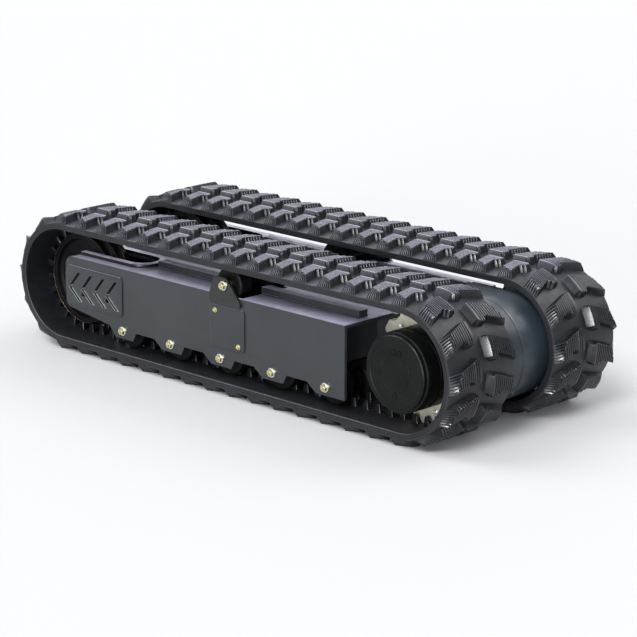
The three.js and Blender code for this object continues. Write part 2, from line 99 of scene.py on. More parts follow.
# ---- mesh building ----------------------------------------------------------
class Shape:
    """Points and faces of one piece, in unit coordinates."""

    def __init__(self):
        self.points = []
        self.faces = []

    def add(self, points, faces):
        base = len(self.points)
        self.points.extend(points)
        self.faces.extend(tuple(base + i for i in face) for face in faces)
        return self

    def grid(self, rows, wrap_rows=False, wrap_columns=False):
        """A sheet through equal rows of points."""
        height, width = len(rows), len(rows[0])
        faces = []
        for i in range(height if wrap_rows else height - 1):
            for j in range(width if wrap_columns else width - 1):
                below, beside = (i + 1) % height, (j + 1) % width
                row, next_row = i * width, below * width
                faces.append((row + j, row + beside, next_row + beside, next_row + j))
        return self.add([tuple(p) for row in rows for p in row], faces)


def softened(profile, radius, steps=3):
    """A closed outline with its corners rounded."""
    out = []
    count = len(profile)
    for i in range(count):
        before = Vector(profile[i - 1]) - Vector(profile[i])
        after = Vector(profile[(i + 1) % count]) - Vector(profile[i])
        corner = Vector(profile[i])
        reach = min(radius, before.length * 0.45, after.length * 0.45)
        if reach < 1e-6 or corner.x < 1e-6:
            out.append(tuple(corner))
            continue
        start = corner + before.normalized() * reach
        end = corner + after.normalized() * reach
        for k in range(steps + 1):
            t = k / steps
            point = start * (1 - t) ** 2 + corner * 2 * t * (1 - t) + end * t ** 2
            out.append(tuple(point))
    return out


def lathe(profile, x, z, sides=96, soft=1.2, steps=3):
    """A closed (radius, y) outline turned round an axis along Y."""
    outline = softened(profile, soft, steps)
    rows = []
    for k in range(sides):
        angle = 2 * math.pi * k / sides
        rows.append([(x + r * math.sin(angle), y, z + r * math.cos(angle)) for r, y in outline])
    return Shape().grid(rows, wrap_rows=True, wrap_columns=True)


def prism(outline, y0, y1):
    """An outline of (x, z) points given thickness along Y."""
    count = len(outline)
    points = [(x, y0, z) for x, z in outline] + [(x, y1, z) for x, z in outline]
    faces = [tuple(range(count))[::-1], tuple(range(count, 2 * count))]
    for i in range(count):
        j = (i + 1) % count
        faces.append((i, j, j + count, i + count))
    return Shape().add(points, faces)


def circle(x, z, radius, count, start=0.0):
    angles = [start + 2 * math.pi * k / count for k in range(count)]
    return [(x + radius * math.cos(a), z + radius * math.sin(a)) for a in angles]


def merged(*shapes):
    out = Shape()
    for shape in shapes:
        out.add(shape.points, shape.faces)
    return out


def tidy_normals(mesh, smooth_angle):
    work = bmesh.new()
    work.from_mesh(mesh)
    bmesh.ops.remove_doubles(work, verts=work.verts, dist=1e-6)
    bmesh.ops.dissolve_degenerate(work, edges=work.edges, dist=1e-7)
    bmesh.ops.recalc_face_normals(work, faces=work.faces)
    work.to_mesh(mesh)
    work.free()
    mesh.shade_smooth()
    mesh.set_sharp_from_angle(angle=math.radians(smooth_angle))


def bevel(piece, width, segments=2, angle=35):
    """Rounds the edges sharper than the angle, and keeps the result as the piece's mesh."""
    cut = piece.modifiers.new("edges", "BEVEL")
    cut.width = width * MM
    cut.segments = segments
    cut.limit_method = "ANGLE"
    cut.angle_limit = math.radians(angle)
    cut.harden_normals = True
    depsgraph = bpy.context.evaluated_depsgraph_get()
    mesh = bpy.data.meshes.new_from_object(piece.evaluated_get(depsgraph))
    piece.modifiers.clear()
    piece.data = mesh


def new_piece(name, mesh, material, body, stands_for=()):
    piece = bpy.data.objects.new(name, mesh)
    bpy.context.collection.objects.link(piece)
    mesh.materials.clear()
    mesh.materials.append(material)
    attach(piece, body)
    if stands_for:
        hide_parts(*stands_for)
    return piece


def publish(shape, name, side, look, body="root", stands_for=(), smooth_angle=38, mirrored=True):
    """Makes a piece of one track unit from a shape in unit coordinates.

    The right-hand unit is mirrored, except its belt, whose lugs point the same way.
    """
    sign = SIDES[side]
    points = np.array(shape.points, dtype=float)
    if mirrored:
        points[:, 1] = sign * (UNIT_Y - points[:, 1])
    else:
        points[:, 1] += sign * UNIT_Y
    mesh = bpy.data.meshes.new(f"{name}_{side}")
    mesh.from_pydata((points * MM).tolist(), [], shape.faces)
    tidy_normals(mesh, smooth_angle)
    material, slot = look
    body_name = body if body == "root" else f"{body}_{side}"
    nodes = [f"{node}_{side}" for node in stands_for]
    new_piece(f"{name}_{side}_skin", mesh, material, body_name, nodes)


FLAT_DEGREES = 2.0              # faces closer than this count as one flat face


def from_node(node, look, body, edge):
    """A piece with a CAD node's own shape and its edges rounded."""
    mesh = frame["nodes"][node].data.copy()
    work = bmesh.new()
    work.from_mesh(mesh)
    bmesh.ops.remove_doubles(work, verts=work.verts, dist=1e-5)
    bmesh.ops.dissolve_limit(
        work, angle_limit=math.radians(FLAT_DEGREES), verts=work.verts, edges=work.edges)
    bmesh.ops.triangulate(work, faces=work.faces, ngon_method="EAR_CLIP")
    bmesh.ops.recalc_face_normals(work, faces=work.faces)
    work.to_mesh(mesh)
    work.free()
    mesh.shade_smooth()
    mesh.set_sharp_from_angle(angle=math.radians(30))
    material, slot = look
    piece = new_piece(f"{node}_skin", mesh, material, body, [node])
    bevel(piece, edge)


# ---- materials ----------------------------------------------------------------
class Nodes:
    """A short way to write a material's node tree."""

    def __init__(self, name):
        self.material = bpy.data.materials.new(name)
        self.material.use_nodes = True
        self.tree = self.material.node_tree
        self.shader = self.tree.nodes["Principled BSDF"]
        self.place = self.tree.nodes.new("ShaderNodeTexCoord").outputs["Object"]

    def link(self, source, target):
        self.tree.links.new(source, target)

    def noise(self, scale, detail=4.0, roughness=0.55, stretch=None):
        node = self.tree.nodes.new("ShaderNodeTexNoise")
        node.inputs["Scale"].default_value = scale
        node.inputs["Detail"].default_value = detail
        node.inputs["Roughness"].default_value = roughness
        source = self.place
        if stretch:
            mapping = self.tree.nodes.new("ShaderNodeMapping")
            mapping.inputs["Scale"].default_value = stretch
            self.link(source, mapping.inputs["Vector"])
            source = mapping.outputs["Vector"]
        self.link(source, node.inputs["Vector"])
        return node.outputs["Fac"]

    def ramp(self, value, stops):
        node = self.tree.nodes.new("ShaderNodeValToRGB")
        band = node.color_ramp
        while len(band.elements) < len(stops):
            band.elements.new(0.5)
        for element, (position, colour) in zip(band.elements, stops):
            element.position = position
            element.color = (*colour, 1) if len(colour) == 3 else colour
        self.link(value, node.inputs["Fac"])
        return node.outputs["Color"]

    def grey(self, value, low, high, start=0.3, end=0.7):
        node = self.tree.nodes.new("ShaderNodeMapRange")
        node.inputs["From Min"].default_value = start
        node.inputs["From Max"].default_value = end
        node.inputs["To Min"].default_value = low
        node.inputs["To Max"].default_value = high
        self.link(value, node.inputs["Value"])
        return node.outputs["Result"]

    def maths(self, operation, a, b):
        node = self.tree.nodes.new("ShaderNodeMath")
        node.operation = operation
        for socket, value in zip(node.inputs, (a, b)):
            if isinstance(value, (int, float)):
                socket.default_value = value
            else:
                self.link(value, socket)
        return node.outputs["Value"]

    def mix(self, factor, a, b):
        node = self.tree.nodes.new("ShaderNodeMix")
        node.data_type = "RGBA"
        self.link(factor, node.inputs["Factor"])
        for socket, value in zip((node.inputs[6], node.inputs[7]), (a, b)):
            if isinstance(value, tuple):
                socket.default_value = (*value, 1)
            else:
                self.link(value, socket)
        return node.outputs[2]

    def upward(self, low=0.5, high=0.95):
        """How far a face looks up, from 0 to 1."""
        geometry = self.tree.nodes.new("ShaderNodeNewGeometry")
        split = self.tree.nodes.new("ShaderNodeSeparateXYZ")
        self.link(geometry.outputs["Normal"], split.inputs["Vector"])
        return self.grey(split.outputs["Z"], 0.0, 1.0, low, high)

    def height(self, low, high):
        """How high a point stands, from 0 at the low level to 1 at the high one."""
        split = self.tree.nodes.new("ShaderNodeSeparateXYZ")
        self.link(self.place, split.inputs["Vector"])
        return self.grey(split.outputs["Z"], 0.0, 1.0, low, high)

    def loop_height(self, low, high):
        """How far a point stands off the belt's carcass, from 0 to 1 between two heights in mm."""
        split = self.tree.nodes.new("ShaderNodeSeparateXYZ")
        self.link(self.place, split.inputs["Vector"])
        past_end = self.maths("SUBTRACT", self.maths("ABSOLUTE", split.outputs["X"], 0), DRIVE_X * MM)
        along = self.maths("MAXIMUM", past_end, 0)
        rise = self.maths("SUBTRACT", split.outputs["Z"], AXLE_Z * MM)
        square = self.maths("ADD", self.maths("POWER", along, 2), self.maths("MULTIPLY", rise, rise))
        reach = self.maths("SQRT", square, 0)
        return self.grey(reach, 0.0, 1.0, (BELT_OUTER + low) * MM, (BELT_OUTER + high) * MM)

    # Pointiness of convex edges, from 0 to 1; the rubber's painted sheen sits on them.
    def convex_edges(self, low=0.52, high=0.6):
        geometry = self.tree.nodes.new("ShaderNodeNewGeometry")
        return self.grey(geometry.outputs["Pointiness"], 0.0, 1.0, low, high)

    def bump(self, height, strength, distance, under=None):
        node = self.tree.nodes.new("ShaderNodeBump")
        node.inputs["Strength"].default_value = strength
        node.inputs["Distance"].default_value = distance
        self.link(height, node.inputs["Height"])
        if under is not None:
            self.link(under, node.inputs["Normal"])
        self.link(node.outputs["Normal"], self.shader.inputs["Normal"])
        return node.outputs["Normal"]

    def colour(self, source):
        self.link(source, self.shader.inputs["Base Color"])

    def rough(self, source):
        self.link(source, self.shader.inputs["Roughness"])

    def metal(self, amount, specular=0.5):
        self.shader.inputs["Metallic"].default_value = amount
        self.shader.inputs["Specular IOR Level"].default_value = specular


def paint_look(name, dark, light, gloss=0.36, top_sheen_colour=(0.30, 0.29, 0.38)):
    """Sprayed satin paint over steel plate, with a painted sheen: a paler colour mixed onto upward faces."""
    n = Nodes(name)
    n.metal(0.0, 0.45)
    tone = n.ramp(n.noise(5.0), [(0.3, dark), (0.7, light)])
    patches = n.grey(n.noise(30.0, 6.0), 0.72, 1.0, 0.3, 0.62)
    # painted sheen: upward faces take the paler top colour, in noisy patches
    painted_top_sheen = n.maths("MULTIPLY", n.upward(0.8, 0.97), patches)
    n.colour(n.mix(painted_top_sheen, tone, top_sheen_colour))
    n.rough(n.grey(n.noise(22.0, 6.0), gloss - 0.06, gloss + 0.1))
    ripple = n.bump(n.noise(160.0, 2.0), 0.05, 0.002)
    n.bump(n.noise(900.0, 2.0), 0.06, 0.0006, ripple)
    return n.material


def rubber_look():
    """Moulded black rubber: polished lugs, a matt carcass and a painted blue-grey sheen on the upward edges
    of the top run.
    """
    n = Nodes("moulded_rubber")
    n.metal(0.0, 0.5)
    tone = n.ramp(n.noise(9.0, 6.0), [(0.3, (0.0025, 0.0025, 0.0035)), (0.72, (0.006, 0.007, 0.010))])
    depth = n.loop_height(2.0, 16.0)
    raised = n.maths("MULTIPLY", n.convex_edges(0.49, 0.56), n.grey(depth, 0.35, 1.0, 0.0, 1.0))
    # painted sheen: upward faces, broken up by noise
    rubber_sheen = n.maths("MULTIPLY", n.upward(0.35, 0.9), n.grey(n.noise(55.0, 8.0, 0.7), 0.3, 1.0, 0.35, 0.7))
    high = n.maths("MULTIPLY", rubber_sheen, n.height(0.40, 0.46))
    # blue-grey colour on raised upward edges at the top run's height: painted sheen
    n.colour(n.mix(n.maths("MULTIPLY", high, raised), tone, (0.10, 0.105, 0.14)))
    n.rough(n.maths("ADD", n.grey(n.noise(30.0, 6.0), 0.0, 0.12), n.grey(depth, 0.42, 0.20, 0.0, 1.0)))
    grain = n.bump(n.noise(420.0, 4.0), 0.06, 0.0010)
    n.bump(n.noise(1600.0, 2.0), 0.05, 0.0005, grain)
    return n.material


def casting_look(name, dark, light, rough=0.42, metal=0.0):
    """Cast iron, bare or under paint, with a sand-cast skin."""
    n = Nodes(name)
    n.metal(metal, 0.14)
    tone = n.ramp(n.noise(18.0, 8.0, 0.7), [(0.32, dark), (0.7, light)])
    n.colour(tone)
    n.rough(n.grey(n.noise(60.0, 8.0), rough - 0.1, rough + 0.14))
    pits = n.bump(n.noise(240.0, 6.0, 0.7), 0.3, 0.0012)
    n.bump(n.noise(45.0, 4.0), 0.15, 0.002, pits)
    return n.material


def metal_look(name, dark, light, rough, stretch=(1.0, 1.0, 1.0)):
    """Plated or turned steel with fine marks and slight stains."""
    n = Nodes(name)
    n.metal(1.0)
    n.colour(n.ramp(n.noise(70.0, 6.0, 0.65), [(0.3, dark), (0.7, light)]))
    n.rough(n.grey(n.noise(240.0, 6.0, 0.6, stretch), rough - 0.1, rough + 0.12))
    n.bump(n.noise(700.0, 4.0, 0.6, stretch), 0.12, 0.0006)
    return n.material


PLATE_DARK, PLATE_LIGHT = (0.014, 0.0165, 0.019), (0.018, 0.0205, 0.0235)
GUARD_DARK, GUARD_LIGHT = (0.014, 0.021, 0.029), (0.019, 0.028, 0.037)
BLACK_DARK, BLACK_LIGHT = (0.0015, 0.0015, 0.0015), (0.0035, 0.004, 0.004)
# paler colours for upward faces: painted sheen
PALE_TOP_SHEEN = (0.52, 0.50, 0.60)
GUARD_TOP_SHEEN = (0.05, 0.06, 0.07)
BRACKET_TOP_SHEEN = (0.03, 0.03, 0.04)
LOOKS = {
    "paint": (paint_look("frame_paint", PLATE_DARK, PLATE_LIGHT), "frame_paint"),
    # the collar is frame paint drawn black with a pale top: painted shade on its sides and painted sheen on
    # top
    "collar": (paint_look("collar_paint", BLACK_DARK, BLACK_LIGHT, 0.3, PALE_TOP_SHEEN), "frame_paint"),
    "guard": (paint_look("guard_paint", GUARD_DARK, GUARD_LIGHT, 0.34, GUARD_TOP_SHEEN), "guard_paint"),
    # a darker copy of the frame paint for the carrier bracket: painted shade under the belt's top run
    "bracket": (
        paint_look("bracket_paint", (0.005, 0.006, 0.006), (0.009, 0.011, 0.010), 0.32, BRACKET_TOP_SHEEN),
        "frame_paint"),
    "rubber": (rubber_look(), "track_rubber"),
    "black": (casting_look("black_casting", BLACK_DARK, BLACK_LIGHT, 0.36), "black_paint"),
    "wheel": (casting_look("dark_forging", (0.001, 0.001, 0.001), (0.003, 0.003, 0.004), 0.5), "wheel_steel"),
    "sprocket": (
        casting_look("sprocket_cast", (0.36, 0.34, 0.28), (0.55, 0.53, 0.45), 0.45, 0.6), "cast_sprocket"),
    "zinc": (metal_look("yellow_zinc", (0.50, 0.46, 0.22), (0.78, 0.76, 0.50), 0.3), "zinc_bolt"),
    "silver": (metal_look("bright_zinc", (0.55, 0.56, 0.57), (0.80, 0.81, 0.82), 0.28), "bare_steel"),
    "steel": (
        metal_look("turned_steel", (0.30, 0.31, 0.32), (0.50, 0.51, 0.52), 0.32, (1.0, 9.0, 1.0)),
        "bare_steel"),
    "rubbed": (metal_look("rubbed_rim", (0.10, 0.08, 0.06), (0.24, 0.20, 0.15), 0.34), "wheel_steel"),
    # bright metal colour on the frame-paint vent lips: painted highlight
    "lip": (metal_look("vent_lip_highlight", (0.42, 0.46, 0.45), (0.70, 0.74, 0.73), 0.34), "frame_paint"),
    "link": (casting_look("guide_rubber", (0.002, 0.002, 0.003), (0.006, 0.006, 0.008), 0.3), "track_rubber"),
}


# ---- rubber belt ----------------------------------------------------------------
def on_loop(t, v, w):
    """Belt coordinates to unit coordinates. t runs along the top run towards the drive end,
    v across from the outboard edge, w out of the carcass surface."""
    t = np.mod(np.asarray(t, dtype=float), LOOP)
    radius = BELT_OUTER + np.asarray(w, dtype=float)
    bottom = WHEEL_BASE + HALF_TURN
    over_drive = math.pi / 2 - (t - WHEEL_BASE) / PITCH_R
    over_idler = -math.pi / 2 - (t - bottom - WHEEL_BASE) / PITCH_R
    top_run = t < WHEEL_BASE
    drive_turn = (t >= WHEEL_BASE) & (t < bottom)
    bottom_run = (t >= bottom) & (t < bottom + WHEEL_BASE)
    cases = [top_run, drive_turn, bottom_run]
    x = np.select(cases, [IDLER_X + t, DRIVE_X + radius * np.cos(over_drive), DRIVE_X - (t - bottom)],
                  IDLER_X + radius * np.cos(over_idler))
    z = np.select(cases, [AXLE_Z + radius, AXLE_Z + radius * np.sin(over_drive), AXLE_Z - radius],
                  AXLE_Z + radius * np.sin(over_idler))
    y = np.broadcast_to(np.asarray(v, dtype=float) - BELT_WIDTH / 2, x.shape)
    x = np.clip(x, BELT_LOW[0], BELT_HIGH[0])
    return np.stack([x, y, z], axis=-1)


# The plan of an outboard lug: its two long sides as (v, u) points, u along the belt.
LEAD_SIDE = [(1.5, 52), (14, 40), (83.5, 16), (87.5, 22.5), (88.2, 17), (92.0, 17),
             (92.7, 24), (96.7, 30.5), (116.5, 28), (122, 21)]
TRAIL_SIDE = [(1.5, -6), (38, -13), (112, -36), (122, -33)]
SLOPE_TOP = [(0.0, 38), (1.0, 14)]  # where the fluted slope meets the top, by place along it
LUG_EDGE = 1.5                  # outer end of the lug
EDGE_ROUNDING = 1.5
LUG_END = 122                   # inner end of the top face
LUG_FOOT = 134                  # inner end at the carcass
FLUTES = 6
FLUTE_LAND = 0.26               # half width of a flute, as a part of its pitch
GROOVES = [26 + 9.4 * k for k in range(10)]
GROOVE_DEPTH = 3.2
FLUTE_DEPTH = 4.6
DRAFT = 0.28                    # how far a lug's long sides lean out per unit of depth


def between(points, at):
    return float(np.interp(at, [p[0] for p in points], [p[1] for p in points]))


def lug_stations():
    """Where the lug is sampled across the belt."""
    stations = {1.5, 2.5, 5, 8, 11, 14, 17, 20, 23.5, 41, 113, LUG_END - 1.4, LUG_END}
    stations |= {v for v, _ in LEAD_SIDE if 12 < v < LUG_END}
    for centre in GROOVES:
        stations |= {centre - 2.5, centre - 1.2, centre + 1.2, centre + 2.5}
    out = []
    for v in sorted(stations):
        if not out or v - out[-1] > 0.35:
            out.append(v)
    return out


def groove_depth(v):
    reach = min(abs(v - centre) for centre in GROOVES)
    return GROOVE_DEPTH * (1 - min(1.0, max(0.0, (reach - 1.2) / 1.3)))


def flute_depth(place):
    reach = abs((place * FLUTES) % 1 - 0.5)
    return FLUTE_DEPTH * (1 - min(1.0, reach / FLUTE_LAND))


def lug_height(place, v):
    """The lug's height at a place between its long sides, 0 trailing to 1 leading."""
    foot = LUG_EDGE
    rise = (v - foot) / (between(SLOPE_TOP, place) - foot)
    top = LUG_HEIGHT - groove_depth(v)
    if rise >= 1:
        return top
    return min(top, LUG_HEIGHT * rise ** 0.92 - flute_depth(place) * min(1.0, rise * 6))


def lug_sheet():
    """One outboard lug as a closed grid of (u, v, w) points."""
    places = [0.0, 0.03]
    for k in range(FLUTES):
        places += [(k + part) / FLUTES for part in (0.24, 0.5, 0.76)]
    places += [0.97, 1.0]
    rows = []
    for v in lug_stations():
        trail, lead = between(TRAIL_SIDE, v), between(LEAD_SIDE, v)
        heights = [lug_height(place, v) for place in places]
        row = []
        row.append((trail - DRAFT * max(heights[0] + 2, 0), v, -2))
        row.append((trail - 0.4, v, max(heights[0] - EDGE_ROUNDING, -1)))
        for place, height in zip(places, heights):
            inset = trail + 1.0 + (lead - trail - 2.0) * place
            row.append((inset, v, max(height, -1.0) if v > 1.6 else -1.5))
        row.append((lead + 0.4, v, max(heights[-1] - EDGE_ROUNDING, -1)))
        row.append((lead + DRAFT * max(heights[-1] + 2, 0), v, -2))
        rows.append(row)
    last = rows[-1]
    rows.append([(u * 0.985, LUG_END + 1.2, min(w, LUG_HEIGHT - 1.6)) for u, _, w in last])
    rows.append([(u, LUG_FOOT, -2) for u, _, _ in last])
    return np.array(rows)


def belt_lugs():
    """Both rows of lugs: the inboard row mirrors the outboard one, half a pitch on."""
    sheet = lug_sheet()
    height, width = sheet.shape[:2]
    grid_faces = Shape().grid(sheet).faces
    edge = list(range(width)) + [i * width + width - 1 for i in range(1, height)]
    edge += list(range(height * width - 2, (height - 1) * width - 1, -1))
    edge += [i * width for i in range(height - 2, 0, -1)]
    faces = grid_faces + [tuple(edge[::-1])]
    flipped = [face[::-1] for face in faces]
    flat = sheet.reshape(-1, 3)
    out = Shape()
    for k in range(LUG_COUNT):
        middle = LUG_PHASE + k * LUG_PITCH
        near = on_loop(middle + flat[:, 0], flat[:, 1], flat[:, 2])
        out.add(near.tolist(), faces)
        far = on_loop(middle + LUG_PITCH / 2 + flat[:, 0], BELT_WIDTH - flat[:, 1], flat[:, 2])
        out.add(far.tolist(), flipped)
    return out


# Half of the carcass section as (v, w) points, from the outer edge to the sprocket groove.
CARCASS_HALF = [
    (128, 0), (60, 0), (8, 0), (3.5, -0.8), (1.2, -2.6),
    (0.6, -5), (0.6, -8.6), (2.2, -9.4), (2.2, -10.6), (0.6, -11.4),
    (0.6, -15.4), (2.2, -16.2), (2.2, -17.4), (0.6, -18.2), (1.2, -21.5),
    (3.5, -23.4), (8, -24), (60, -24), (104, -24), (126, -24),
    (128, -23), (128.6, -13), (130, -12), (150, -12),
]
CARCASS_RUN_STEPS, CARCASS_TURN_STEPS = 60, 56


def belt_carcass():
    mirror = [(BELT_WIDTH - v, w) for v, w in CARCASS_HALF[-2::-1]]
    section = CARCASS_HALF + mirror
    bottom = WHEEL_BASE + HALF_TURN
    run = [k / CARCASS_RUN_STEPS for k in range(CARCASS_RUN_STEPS)]
    turn = [k / CARCASS_TURN_STEPS for k in range(CARCASS_TURN_STEPS)]
    stations = [WHEEL_BASE * part for part in run]
    stations += [WHEEL_BASE + HALF_TURN * part for part in turn]
    stations += [bottom + WHEEL_BASE * part for part in run]
    stations += [bottom + WHEEL_BASE + HALF_TURN * part for part in turn]
    v = np.array([p[0] for p in section])
    w = np.array([p[1] for p in section])
    rows = [on_loop(np.full(v.shape, t), v, w).tolist() for t in stations]
    return Shape().grid(rows, wrap_rows=True, wrap_columns=True)


GUIDE_LEVELS = [(-23.5, 15, 9), (-27, 13.5, 8.5), (-50, 9, 6), (-53, 7, 4.5)]  # height, half sizes
GUIDE_SIDES = 16
GUIDE_OFFSET = 35               # from the belt centre


def guide_lug(along, across):
    """A tapered guide lug on the inner surface, as (t, v, w) rows from foot to tip."""
    rows = []
    for w, half_t, half_v in GUIDE_LEVELS:
        ring = []
        for k in range(GUIDE_SIDES):
            angle = 2 * math.pi * (k + 0.5) / GUIDE_SIDES
            c, s = math.cos(angle), math.sin(angle)
            square = 1 / max(abs(c), abs(s)) ** 0.75
            ring.append((along + half_t * c * square, across + half_v * s * square, w))
        rows.append(ring)
    return rows


def belt_guides():
    out = Shape()
    for k in range(LINK_COUNT):
        along = (k + 0.5) * LOOP / LINK_COUNT
        for side in (-1, 1):
            rows = np.array(guide_lug(along, BELT_WIDTH / 2 + side * GUIDE_OFFSET))
            height, width = rows.shape[:2]
            faces = Shape().grid(rows, wrap_columns=True).faces
            faces.append(tuple(range((height - 1) * width, height * width)))
            flat = rows.reshape(-1, 3)
            out.add(on_loop(flat[:, 0], flat[:, 1], flat[:, 2]).tolist(), faces)
    return out


def make_belt(side):
    belt = merged(belt_carcass(), belt_lugs())
    publish(belt, "rubber_track", side, LOOKS["rubber"], "root", ["rubber_track"],
            smooth_angle=24, mirrored=False)
    publish(belt_guides(), "guide_lugs", side, LOOKS["link"], smooth_angle=30, mirrored=False)


# ---- fasteners --------------------------------------------------------------------
def hex_head(x, z, face, out, radius, height, turn=0.0):
    """A hexagon head standing out of a face; out is -1 or 1 along Y."""
    shape = Shape()
    levels = [(0.0, 1.0), (height * 0.82, 1.0), (height * 0.93, 0.95), (height, 0.84)]
    rows = []
    for level, part in levels:
        ring = circle(x, z, radius * part, 6, turn)
        rows.append([(px, face + out * level, pz) for px, pz in ring])
    shape.grid(rows, wrap_columns=True)
    shape.add(rows[-1], [tuple(range(6))])
    shape.add(rows[0], [tuple(range(6))[::-1]])
    return shape


def disc(x, z, face, out, radius, height, bore=0.0, sides=40, soft=0.7):
    low, high = sorted((face, face + out * height))
    profile = [(bore, low), (radius, low), (radius, high), (bore, high)]
    return lathe(profile, x, z, sides, soft, 2)


def axle_end(x, z, face, out):
    """Bright washer, then a yellow hexagon and its thread end."""
    washer = disc(x, z, face, out, 16, 3)
    tab = prism([(x + 15, z + 3), (x + 25, z + 6), (x + 22, z + 15), (x + 12, z + 12)],
                *sorted((face + out * 0.2, face + out * 6)))
    hexagon = hex_head(x, z, face + out * 3, out, 13, 9.5, 0.3)
    thread = disc(x, z, face + out * 12, out, 6, 4, sides=24, soft=1.2)
    return merged(washer, tab), merged(hexagon, thread)


def make_axle(side, node, x, z, outer_face, inner_face):
    washers, heads = [], []
    for face, out in ((outer_face, -1), (inner_face, 1)):
        bright, yellow = axle_end(x, z, face + out * 0.3, out)
        washers.append(bright)
        heads.append(yellow)
    shaft = disc(x, z, outer_face, 1, 16, inner_face - outer_face, sides=48)
    publish(merged(*heads, shaft), node, side, LOOKS["zinc"], "root", [node], smooth_angle=30)
    publish(merged(*washers), f"{node}_washers", side, LOOKS["silver"], smooth_angle=30)


# ---- track frame --------------------------------------------------------------------
def weld_bead(points, radius):
    """A rippled fillet weld along straight (x, y, z) stretches."""
    out = Shape()
    for start, end in zip(points, points[1:]):
        start, end = Vector(start), Vector(end)
        length = (end - start).length
        along = (end - start).normalized()
        side = along.orthogonal().normalized()
        up = along.cross(side)
        steps = max(4, int(length / 3.5))
        rows = []
        for i in range(steps + 1):
            swell = radius * (1 + 0.16 * (i % 2))
            centre = start + along * (length * i / steps)
            ring = []
            for k in range(8):
                angle = 2 * math.pi * k / 8
                ring.append(tuple(centre + side * swell * math.cos(angle) + up * swell * math.sin(angle)))
            rows.append(ring)
        out.grid(rows, wrap_columns=True)
        out.add(rows[0], [tuple(range(8))])
        out.add(rows[-1], [tuple(range(8))[::-1]])
    return out


def make_frame(side):
    from_node(f"track_frame_{side}", LOOKS["paint"], "root", 2.2)
    from_node(f"vent_panel_outer_{side}", LOOKS["paint"], "root", 1.9)
    from_node(f"vent_panel_inner_{side}", LOOKS["paint"], "root", 1.9)
    from_node(f"access_cover_{side}", LOOKS["paint"], "root", 1.2)
    from_node(f"carrier_bracket_{side}", LOOKS["bracket"], "root", 1.6)
    z = FRAME_TOP + 1.5
    beads = []
    for y in (-RAIL_HALF - 1.5, RAIL_HALF + 1.5):
        beads += [weld_bead([(x0, y, z), (x1, y, z)], 3) for x0, x1 in RAIL_SPANS]
    publish(merged(*beads), "rail_welds", side, LOOKS["paint"], smooth_angle=60)
    make_collar(side)


COLLAR_WIDTH = 25
COLLAR_RUN_STEPS, COLLAR_TURN_STEPS = 12, 40


def make_collar(side):
    """The U-shaped lip, turned up round the idler opening."""
    low, high = node_box("idler_collar_left")
    outer = (high[1] - low[1]) / 2
    inner = outer - COLLAR_WIDTH
    height = high[2] - low[2]
    section = softened([(0, 0), (COLLAR_WIDTH, 0), (COLLAR_WIDTH, height), (0, height)], 3, 3)
    section = [(max(0.2, a), b) for a, b in section]
    nose_x = high[0] - outer
    run = [low[0] + (nose_x - low[0]) * k / COLLAR_RUN_STEPS for k in range(COLLAR_RUN_STEPS)]
    rows = [[(x, -(inner + a), low[2] + b) for a, b in section] for x in run]
    for k in range(COLLAR_TURN_STEPS + 1):
        angle = -math.pi / 2 + math.pi * k / COLLAR_TURN_STEPS
        ring = []
        for a, b in section:
            reach = inner + a
            ring.append((nose_x + reach * math.cos(angle), reach * math.sin(angle), low[2] + b))
        rows.append(ring)
    rows += [[(x, inner + a, low[2] + b) for a, b in section] for x in reversed(run)]
    shape = Shape().grid(rows, wrap_columns=True)
    count = len(section)
    shape.add(rows[0], [tuple(range(count))])
    shape.add(rows[-1], [tuple(range(count))[::-1]])
    publish(shape, "idler_collar", side, LOOKS["collar"], "root", ["idler_collar"], smooth_angle=35)


COVER_SCREWS = ((-46, 276), (62, 170))


def make_cover_screws(side):
    face = -FRAME_FACE - COVER_THICKNESS - 2 * GAP
    screws = []
    for x, z in COVER_SCREWS:
        screws.append(disc(x, z, face, -1, 9, 2.2, sides=32))
        screws.append(hex_head(x, z, face - 2.2, -1, 6.5, 5.5, 0.2))
    publish(merged(*screws), "cover_screws", side, LOOKS["zinc"], smooth_angle=30)


# ---- wheels ---------------------------------------------------------------------------
ROLLER_COUNT = 5
ROLLER_HALF = [
    (SHAFT_BORE, -76), (34, -76), (36, -73), (58, -73), (60, -76),
    (64, -73), (64, -50), (60, -47.5), (34, -46), (30, -40),
]
CARRIER_HALF = [
    (SHAFT_BORE, -100), (50, -100), (57, -96), (57, -52), (54, -50), (28, -48), (24, -40),
]
TREAD_R, TREAD_HALF = 156.5, 48
FLANGE_R, FLANGE_HALF = 172, 14
IDLER_HALF = [
    (21.2, -54), (58, -54), (60, -40), (66, -26), (132, -26), (138, -34), (140, -TREAD_HALF),
    (TREAD_R, -TREAD_HALF), (TREAD_R, -22), (160, -19), (FLANGE_R, -FLANGE_HALF),
]
YOKE_HALF = 103.4
BRACKET_THICKNESS = 10


def both_halves(half):
    """A wheel's (radius, y) outline from its half on the minus side."""
    return half + [(r, -y) for r, y in reversed(half)]


def make_rollers(side):
    for k in range(ROLLER_COUNT):
        x, _, z = joint_at(f"roller_spin_{k + 1}_left")
        node = f"track_roller_{k + 1}"
        wheel = lathe(both_halves(ROLLER_HALF), x, z, 72)
        publish(wheel, node, side, LOOKS["wheel"], f"roller_{k + 1}", [node])
        make_axle(side, f"roller_axle_{k + 1}", x, z, -FRAME_FACE, FRAME_FACE)


def make_carrier(side):
    x, _, z = joint_at("carrier_spin_left")
    wheel = lathe(both_halves(CARRIER_HALF), x, z, 72)
    publish(wheel, "carrier_roller", side, LOOKS["wheel"], "carrier", ["carrier_roller"])
    make_axle(side, "carrier_axle", x, z, -FRAME_FACE - BRACKET_THICKNESS - GAP, FRAME_FACE)


